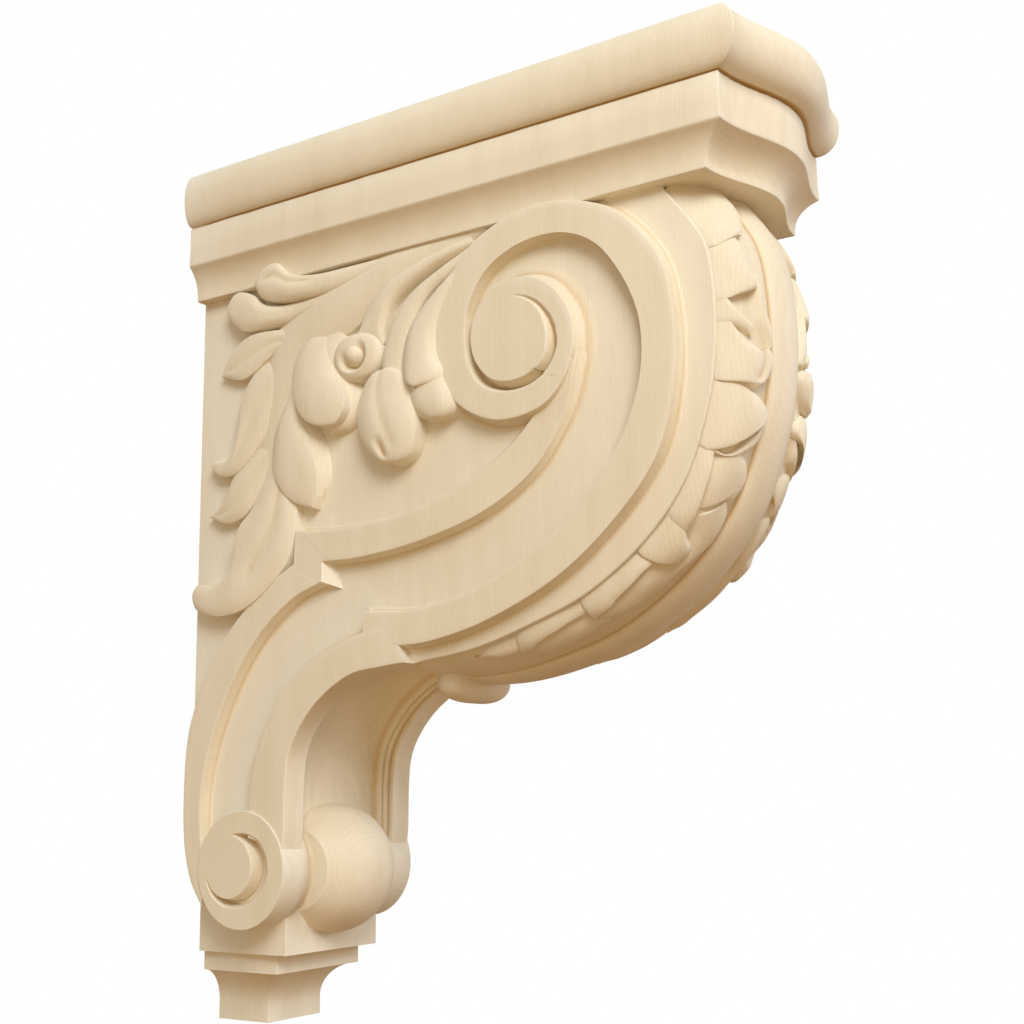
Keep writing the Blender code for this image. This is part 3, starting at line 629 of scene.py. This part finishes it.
def make_lower():
    """Drums with their rims, the barrel between them, the foot, and the tongue under the belly."""
    barrel = [(57 * t, 44 + 28 * (1 - abs(t) ** 2.6)) for t in np.linspace(-1, 1, 41)]
    rim = [(50, 58), (60, 58.5), (67, 58.5), (68, 59.5), (68.5, 61.5), (75, 61.5), (75.8, 62.2),
           (76.5, DRUM[1]), (90, DRUM[1])]
    tongue = [(59 * t, 22 * (1 - abs(t) ** 3.0) ** 0.5 + 0.3) for t in np.linspace(-0.999, 0.999, 41)]
    near = [volute_face(DRUM, LOWER_EYE, VOLUTE, 14.0), turned(DRUM[0], [(-x, r) for x, r in rim])]
    middle = [turned((126, 168), barrel), turned((329, 368), tongue), foot_block()]
    return mesh("barrel_and_foot", [*both(near), *middle], angle=30)


# Leaves

def lobe(left, right, edge, crest, place, veins=(), count=70, full=2.8, across=26, crowd=1.25):
    """A carved leaf between two drawn outlines that meet at its tip.

    Across it v runs from -1 to 1. Its top stands at edge + (crest - edge) * (1 - |v|^full), less each vein, a
    groove of Gaussian section: (v at base, v at tip, depth, width, share it starts at, share it ends at).
    Short walls drop from both edges to below the carved ground."""
    a, b = curve(left, count, crowd), curve(right, count, crowd)
    low, high = values(edge, count, crowd), values(crest, count, crowd)
    t = (1 - (1 - np.linspace(0, 1, count)) ** crowd)[:, None]
    v = np.sin(np.linspace(-np.pi / 2, np.pi / 2, across))[None, :]
    top = low[:, None] + (high - low)[:, None] * (1 - np.abs(v) ** full)
    for start, end, deep, wide, begin, finish in veins:
        centre = start + (end - start) * t
        window = ease(begin, begin + 0.12, t) * (1 - ease(finish - 0.12, finish, t))
        top = top - deep * window * np.exp(-(((v - centre) / wide) ** 2))
    middle, half = (a + b) / 2, (b - a) / 2
    span = np.linalg.norm(half, axis=1)[:, None]
    out = half / np.maximum(span, 1e-6)
    flat = middle[:, None, :] + half[:, None, :] * v[..., None]
    wall = []
    for sign in (-1, 1):
        edge_line = middle + half * sign
        shift = out * sign * 0.9
        wall.append([(edge_line + shift * 0.7)[:, None], (edge_line + shift)[:, None]])
    (near_top, near_foot), (far_top, far_foot) = wall
    plan = np.concatenate([near_foot, near_top, flat, far_top, far_foot], axis=1)
    soft = np.minimum(top[:, :1] - 1.2, top[:, :1] * 0.8)
    soft_far = np.minimum(top[:, -1:] - 1.2, top[:, -1:] * 0.8)
    bottom = np.full((count, 1), -BURY)
    height = np.concatenate([bottom, soft, top, soft_far, bottom], axis=1)
    return tube(place(plan[..., 0], plan[..., 1], height))


def on_board(u, z, out):
    """The place of a point that stands out from the board's flat side, on the near cheek."""
    return np.stack([-(CORE + out), u, z], axis=-1)


# Each leaf on the board: one edge and the other from root to tip as (u, z), heights of the edge and of the
# crest along it, and its grooves
SIDE_LEAVES = {
    "body": (
        [(400, 846), (330, 845), (280, 842), (198, 825), (122, 779), (104, 708), (93, 634), (92, 568),
         (104, 540)],
        [(425, 838), (393, 826), (320, 805), (249, 768), (192, 733), (158, 670), (141, 598), (124, 552),
         (104, 540)],
        [4, 5, 6, 6, 5, 4, 3, 2], [9, 11, 13, 14, 12, 11, 10, 6], []),
    "top": (
        [(290, 838), (228, 836), (186, 836), (152, 843), (131, 860), (111, 858), (101, 851), (98, 841)],
        [(285, 826), (227, 813), (194, 811), (161, 811), (137, 813), (113, 820), (102, 830), (98, 841)],
        [6, 9, 11, 13, 16, 18, 18, 16], [11, 13, 15, 17, 21, 23, 22, 18],
        [(-0.9, -0.2, 2.5, 0.3, 0.45, 0.95)]),
    "second": (
        [(215, 817), (167, 811), (133, 810), (108, 816), (93, 829), (75, 837), (62, 836), (54, 828),
         (52, 820)],
        [(215, 797), (177, 792), (148, 788), (124, 787), (99, 786), (80, 788), (64, 798), (54, 810),
         (52, 820)],
        [5, 7, 8, 10, 12, 14, 15, 15, 14], [10, 12, 13, 14, 17, 19, 19, 18, 16], []),
    "third": (
        [(188, 780), (150, 780), (110, 783), (85, 782), (65, 773), (49, 758), (38, 740)],
        [(179, 756), (150, 756), (126, 755), (109, 747), (94, 737), (72, 731), (38, 740)],
        [1, 5, 9, 11, 11, 10, 7], [5, 10, 12, 13, 13, 12, 8], [(0, 0.1, 1.2, 0.3, 0.2, 0.95)]),
    "fourth": (
        [(155, 756), (121, 751), (94, 737), (77, 709), (70, 675), (66, 650), (52, 636), (32, 638),
         (27, 632)],
        [(157, 725), (136, 703), (120, 671), (103, 646), (89, 630), (72, 619), (54, 616), (36, 621),
         (27, 632)],
        [1, 3, 7, 10, 12, 13, 13, 12, 10], [5, 9, 12, 14, 15, 16, 16, 14, 11],
        [(0, 0.1, 1.2, 0.3, 0.2, 0.8)]),
    "fifth": (
        [(137, 673), (111, 654), (82, 630), (64, 614), (55, 599), (42, 582), (25, 572)],
        [(138, 636), (122, 610), (106, 591), (94, 577), (79, 565), (52, 561), (25, 572)],
        [1, 4, 8, 11, 11, 11, 8], [5, 10, 13, 15, 15, 13, 9], [(0, 0.1, 1.2, 0.3, 0.2, 0.95)]),
    "bottom": (
        [(118, 620), (96, 574), (80, 556), (73, 536), (70, 514), (61, 497), (42, 489), (18, 491),
         (10, 487), (8, 479)],
        [(161, 600), (161, 560), (160, 530), (150, 503), (120, 475), (88, 457), (53, 452), (22, 459),
         (11, 467), (8, 479)],
        [5, 10, 12, 14, 16, 17, 18, 18, 17, 15], [12, 15, 17, 19, 20, 21, 22, 21, 20, 17],
        [(0.05, 0.2, 2.0, 0.22, 0.0, 0.6)]),
    "long_foot": (
        [(160, 745), (150, 700), (148, 660), (150, 620), (158, 590), (172, 572), (189, 566)],
        [(172, 740), (166, 700), (177, 672), (194, 644), (202, 617), (202, 592), (189, 566)],
        [1, 2, 2, 2, 2, 2, 1], [7, 9, 11, 12, 12, 11, 7], []),
    "long": (
        [(166, 752), (148, 704), (132, 666), (128, 633), (132, 608), (146, 586), (165, 571), (188, 563)],
        [(186, 750), (169, 706), (169, 670), (180, 645), (190, 621), (195, 598), (194, 578), (188, 563)],
        [1, 3, 8, 12, 14, 16, 15, 12], [5, 9, 14, 17, 19, 19, 17, 13], []),
    "round_foot": (
        [(207, 775), (180, 755), (172, 735), (175, 705), (182, 680), (195, 658), (211, 645)],
        [(232, 760), (230, 738), (240, 712), (250, 690), (250, 665), (236, 648), (211, 645)],
        [1, 2, 2, 3, 3, 2, 1], [9, 13, 16, 18, 18, 16, 12], []),
    "round": (
        [(210, 790), (172, 768), (161, 742), (162, 712), (168, 685), (180, 666), (196, 655), (213, 651)],
        [(236, 775), (218, 745), (221, 719), (232, 699), (239, 680), (238, 665), (228, 653), (213, 651)],
        [0, 2, 8, 15, 20, 23, 24, 22], [4, 9, 16, 21, 25, 27, 26, 23], []),
    "curl": (
        [(400, 838), (345, 825), (301, 810), (272, 792), (258, 774), (250, 752)],
        [(405, 826), (357, 811), (323, 797), (299, 780), (288, 756), (282, 735), (250, 752)],
        [5, 7, 9, 10, 11, 11, 10], [9, 13, 15, 16, 17, 16, 14], []),
    "pod_stem": (
        [(405, 828), (357, 806), (323, 787), (301, 763), (289, 736), (284, 707), (297, 686)],
        [(412, 815), (366, 794), (340, 775), (325, 749), (317, 722), (313, 700), (297, 686)],
        [5, 8, 10, 11, 11, 10], [9, 12, 14, 15, 15, 14], []),
    "pod": (
        [(290, 707), (273, 704), (263, 692), (256, 672), (256, 648), (266, 622), (283, 603), (305, 596)],
        [(304, 705), (316, 697), (325, 678), (332, 656), (336, 634), (332, 613), (322, 601), (305, 596)],
        [12, 14, 16, 18, 19, 19, 17, 13], [16, 19, 22, 25, 26, 25, 22, 16],
        [(-0.5, 0.4, 1.6, 0.16, 0.0, 0.8), (-0.44, -0.3, 4.0, 0.15, 0.6, 0.88)]),
    "cup_bottom": (
        [(330, 706), (325, 690), (322, 670), (329, 652), (344, 641), (362, 637)],
        [(362, 706), (371, 690), (382, 668), (386, 652), (378, 641), (362, 637)],
        [10, 12, 13, 14, 13, 10], [20, 22, 23, 23, 20, 13], []),
    "cup": (
        [(425, 838), (402, 816), (374, 796), (344, 771), (327, 751), (319, 731), (317, 707), (321, 684),
         (338, 675)],
        [(432, 830), (408, 808), (387, 782), (372, 758), (364, 733), (364, 708), (370, 690), (364, 677),
         (338, 675)],
        [4, 6, 8, 10, 12, 14, 16, 18, 18], [9, 13, 16, 19, 21, 23, 25, 27, 26], []),
}
# Middle of the curled leaf's ball
CURL = (247, 729)
# Outline of the curled leaf's head about its ball: angle in degrees, distance
CURL_EDGE = [(15, 37), (35, 34), (58, 27), (90, 24), (122, 26), (145, 29), (180, 30), (228, 28), (274, 29),
             (307, 32), (339, 36)]


def curl_head():
    """The rolled head of the curled leaf on a polar grid: a dome, 9 * (1 - share^3)^0.5 high on its edge,
    with a hollow below its ball."""
    angle = np.linspace(0, 2 * np.pi, 120, endpoint=False)
    at, far = np.array(CURL_EDGE, float).T
    reach = np.interp(np.degrees(angle), at, far, period=360)
    reach = np.convolve(np.concatenate([reach[-5:], reach, reach[:5]]), np.ones(11) / 11, mode="valid")
    share = np.linspace(0.02, 1, 34)[:, None]
    below = 0.5 + 0.5 * np.cos(angle + np.radians(65))
    bowl = 12 * below**1.5 * (1 - ease(13, 22, share * reach))
    out = 12 + 9 * np.sqrt(1 - 0.98 * share**3) - bowl
    share = np.concatenate([share, [[1.02], [1.05]]])
    out = np.concatenate([out, out[-1:] - 3, np.full((1, 120), -BURY)])
    far = share * reach
    return tube(on_board(CURL[0] + far * np.cos(angle), CURL[1] + far * np.sin(angle), out))


def make_side_leaves():
    """The spray of leaves on each board, and the curled leaf's head with its ball."""
    parts = [lobe(left, right, edge, crest, on_board, veins)
             for left, right, edge, crest, veins in SIDE_LEAVES.values()]
    ball = [(-CORE - 11 - 13 * math.sin(t), 12.5 * math.cos(t)) for t in np.linspace(-0.5, 1.55, 16)]
    parts += [curl_head(), turned(CURL, ball)]
    return mesh("side_leaves", both(parts), angle=50)


# Front leaves

# Half of the front's leaves, from the cap down: (across from the middle, thousandths of the way down)
FRONT_LEAVES = {
    "bed": (
        [(90, -30), (90, 200), (90, 420), (90, 640), (88, 800), (82, 900)],
        [(45, -30), (52, 120), (56, 175), (78, 200), (84, 218), (74, 240), (60, 255), (46, 280),
         (40, 340), (38, 420), (44, 520), (52, 620), (56, 740), (66, 840), (82, 900)],
        [0.5, 0.5, 0.5, 0.5], [3, 3.5, 3.5, 2], []),
    "panel": (
        [(90, -30), (90, 40), (90, 95), (90, 122), (84, 123), (76, 118), (66, 115)],
        [(24, -30), (30, 20), (40, 68), (54, 98), (60, 107), (66, 115)],
        [2, 3, 4, 5, 6, 7, 6], [8, 9, 10, 11, 12, 12, 9], []),
    "second": (
        [(90, 105), (90, 145), (90, 175), (91, 198), (90, 204), (87, 200)],
        [(70, 100), (66, 130), (64, 152), (61, 170), (59, 181), (66, 189), (78, 196), (87, 200)],
        [2, 3, 4, 6, 8, 9, 7], [7, 9, 11, 13, 14, 13, 10], []),
    "third": (
        [(90, 180), (91, 215), (90, 232), (85, 239), (76, 246), (70, 251)],
        [(89, 186), (87, 204), (82, 218), (76, 228), (68, 236), (66, 244), (70, 251)],
        [3, 4, 6, 7, 7, 5], [7, 9, 11, 12, 11, 8], []),
    "rim": (
        [(60, 165), (59, 205), (55, 229), (48, 247), (42, 262)],
        [(54, 165), (49, 200), (43, 221), (37, 240), (34, 256), (42, 262)],
        [2, 4, 5, 5, 3], [8, 9, 9, 9, 6], []),
    "fourth": (
        [(90, 225), (91, 260), (91, 300), (90, 316), (86, 318), (78, 318), (66, 323)],
        [(84, 243), (76, 258), (66, 272), (54, 268), (43, 263), (38, 279), (45, 301), (55, 315),
         (66, 323)],
        [2, 4, 6, 8, 9, 9, 8], [8, 11, 14, 16, 16, 15, 11], [(0.3, 0.2, 3.0, 0.2, 0.3, 0.85)]),
    "lid": (
        [(90, 312), (91, 340), (91, 385), (90, 410), (85, 410), (80, 390), (68, 372), (53, 362)],
        [(70, 316), (56, 323), (42, 336), (38, 348), (43, 357), (53, 362)],
        [2, 4, 6, 8, 9, 9, 9], [8, 11, 14, 16, 16, 15, 12], []),
    "ball": (
        [(82, 396), (77, 403), (70, 402), (63, 390), (55, 373), (52, 363)],
        [(82, 395), (77, 384), (66, 371), (58, 365), (52, 363)],
        [2, 4, 5, 5, 4], [6, 10, 11, 10, 8], []),
    "lower_lid": (
        [(91, 398), (90, 410), (81, 416), (70, 414), (56, 402), (43, 387), (36, 359)],
        [(86, 401), (77, 411), (69, 408), (60, 391), (52, 373), (45, 359), (36, 359)],
        [2, 4, 5, 5, 4], [7, 9, 11, 11, 8], []),
    "strap": (
        [(89, 408), (91, 440), (91, 490), (90, 514), (84, 524), (77, 523)],
        [(82, 417), (82, 440), (82, 463), (80, 489), (78, 507), (77, 523)],
        [4, 6, 8, 9, 9, 7], [8, 12, 14, 15, 14, 10], []),
    "strap_fold": (
        [(79, 417), (80, 441), (80, 465), (75, 489), (66, 474), (52, 468), (45, 450)],
        [(58, 400), (43, 412), (37, 426), (37, 440), (45, 450)],
        [2, 3, 3, 4, 4, 3], [8, 9, 9, 8, 6], []),
    "fifth": (
        [(90, 508), (91, 550), (91, 580), (86, 583), (75, 573), (65, 567)],
        [(80, 510), (72, 527), (64, 536), (62, 550), (65, 567)],
        [2, 4, 7, 9, 8, 6], [8, 12, 15, 15, 13, 9], []),
    "fifth_fold": (
        [(74, 500), (67, 530), (63, 554), (61, 578), (64, 600), (64, 622)],
        [(50, 462), (37, 484), (37, 518), (46, 547), (54, 580), (64, 622)],
        [1.5, 2, 3, 3, 2], [7, 9, 9, 8, 5], []),
    "sixth": (
        [(84, 566), (90, 600), (91, 643), (91, 680), (89, 698), (81, 700), (76, 697)],
        [(78, 576), (82, 600), (83, 625), (82, 648), (78, 671), (76, 697)],
        [3, 5, 8, 9, 8, 6], [7, 12, 15, 15, 14, 9], []),
    "sixth_fold": (
        [(76, 576), (80, 602), (82, 626), (80, 651), (75, 680), (72, 694)],
        [(50, 545), (48, 575), (49, 605), (52, 638), (60, 672), (72, 694)],
        [1.5, 2, 3, 3, 2], [7, 9, 9, 8, 5], []),
    "seventh": (
        [(88, 694), (91, 730), (91, 770), (89, 808), (83, 825), (74, 825)],
        [(81, 706), (84, 733), (84, 764), (81, 788), (76, 805), (74, 825)],
        [3, 5, 8, 8, 7, 5], [6, 10, 13, 13, 12, 8], []),
    "seventh_fold": (
        [(78, 708), (83, 736), (83, 767), (78, 790), (69, 818)],
        [(60, 684), (56, 713), (54, 749), (55, 792), (69, 818)],
        [1.5, 2, 2.5, 2], [6, 8, 8, 4], []),
    "eighth": (
        [(84, 812), (87, 836), (87, 868), (84, 886)],
        [(76, 822), (76, 840), (79, 864), (84, 886)],
        [3, 4, 4, 3], [6, 8, 8, 4], []),
}


def on_front(x, thousandths, out):
    """The place of a point of the near half's leaves, out from the belly."""
    return on_belly(-x, np.clip(thousandths / 1000, 0, 1), out)


def make_front_leaves():
    """The leaves of the belly, on both sides of its midrib."""
    parts = [lobe(left, right, edge, crest, on_front, veins, crowd=1.0)
             for left, right, edge, crest, veins in FRONT_LEAVES.values()]
    return mesh("front_leaves", both(parts), angle=50)


make_cap()
mesh("body", [core_solid()], angle=30)
mesh("belly", [belly_body()], angle=30)
make_scrolls()
make_lower()
make_side_leaves()
make_front_leaves()


# Studio: a pale floor, white all round it, and soft light from large panels

def make_stage():
    """A plain pale floor. The corbel hangs well above it, as it would on its wall."""
    bpy.ops.mesh.primitive_circle_add(vertices=96, radius=3.0, fill_type="NGON", location=(0, 0, -1.4))
    floor = bpy.context.object
    floor.name = "floor"
    material = bpy.data.materials.new("White paper")
    material.use_nodes = True
    shader = material.node_tree.nodes["Principled BSDF"]
    shader.inputs["Base Color"].default_value = linear("#EDEBE6")
    shader.inputs["Roughness"].default_value = 0.9
    floor.data.materials.append(material)
    floor.visible_diffuse = False


def facing(side, up, away, at):
    """The matrix of a thing at a place, from the directions of its own x, y and z."""
    columns = [np.append(side, 0), np.append(up, 0), np.append(away, 0), np.append(at, 1)]
    return Matrix(np.column_stack(columns).tolist())


def panel(name, at, look, size, power, colour="#FFFFFF"):
    """A square light panel at a place, turned to face another."""
    light = bpy.data.lights.new(name, "AREA")
    light.shape = "SQUARE"
    light.size = size
    light.energy = power
    light.color = linear(colour)[:3]
    lamp = bpy.data.objects.new(name, light)
    away = np.array(at) - np.array(look)
    away = away / np.linalg.norm(away)
    side = np.cross([0, 0, 1.0], away)
    side /= np.linalg.norm(side)
    up = np.cross(away, side)
    lamp.matrix_world = facing(side, up, away, at)
    bpy.context.scene.collection.objects.link(lamp)


def make_light():
    """A soft panel above and to the left of the front, a weak warm one low at the left, a cool one at the
    right and one behind. The room is pale above and brown below, as over a bench, and the camera sees it as
    white paper."""
    world = bpy.context.scene.world or bpy.data.worlds.new("Studio")
    bpy.context.scene.world = world
    world.use_nodes = True
    tree = world.node_tree
    tree.nodes.clear()
    direction = node(tree, "ShaderNodeTexCoord").outputs["Generated"]
    height = node(tree, "ShaderNodeSeparateXYZ", {0: direction}).outputs["Z"]
    height = node(tree, "ShaderNodeMapRange", {0: height, 1: -1.0, 2: 1.0}).outputs[0]
    room = ramp(tree, height, [(0.25, "#BC833C"), (0.5, "#DBCBA8"), (0.75, "#FFFFFF")])
    room = node(tree, "ShaderNodeBackground", {"Color": room, "Strength": 0.55}).outputs[0]
    paper = node(tree, "ShaderNodeBackground", {"Color": linear("#FFFFFF"), "Strength": 1.0}).outputs[0]
    seen = node(tree, "ShaderNodeLightPath").outputs["Is Camera Ray"]
    mixed = node(tree, "ShaderNodeMixShader", {0: seen, 1: room, 2: paper}).outputs[0]
    node(tree, "ShaderNodeOutputWorld", {0: mixed})
    middle = (0.0, -0.12, 0.0)
    panel("key", (-0.76, -0.88, 0.72), middle, 0.6, 12.0)
    panel("fill", (-1.0, -0.7, -0.55), middle, 1.0, 3.8, "#FFE7C6")
    panel("rim", (0.9, -0.9, 0.2), middle, 0.5, 5, "#EEF2FF")
    panel("back", (0.4, 1.2, 0.5), middle, 0.8, 6)


def make_camera():
    """The photograph's view, fitted to the edges of the cap, the foot and the back."""
    yaw, pitch, roll = (math.radians(a) for a in (56.62485, 10.77352, -0.73744))
    ahead = np.array([math.sin(yaw) * math.cos(pitch), math.cos(yaw) * math.cos(pitch), math.sin(pitch)])
    right = np.cross(ahead, [0, 0, 1.0])
    right /= np.linalg.norm(right)
    up = np.cross(right, ahead)
    turned_right = math.cos(roll) * right + math.sin(roll) * up
    turned_up = -math.sin(roll) * right + math.cos(roll) * up
    data = bpy.data.cameras.new("camera")
    data.sensor_width = 36.0
    data.lens = 51.6152
    camera = bpy.data.objects.new("camera", data)
    bpy.context.scene.collection.objects.link(camera)
    at = (-0.471285, -0.446099, -0.088573)
    camera.matrix_world = facing(turned_right, turned_up, -ahead, at)
    bpy.context.scene.camera = camera


make_stage()
make_light()
make_camera()
bpy.context.scene.view_settings.view_transform = "Standard"
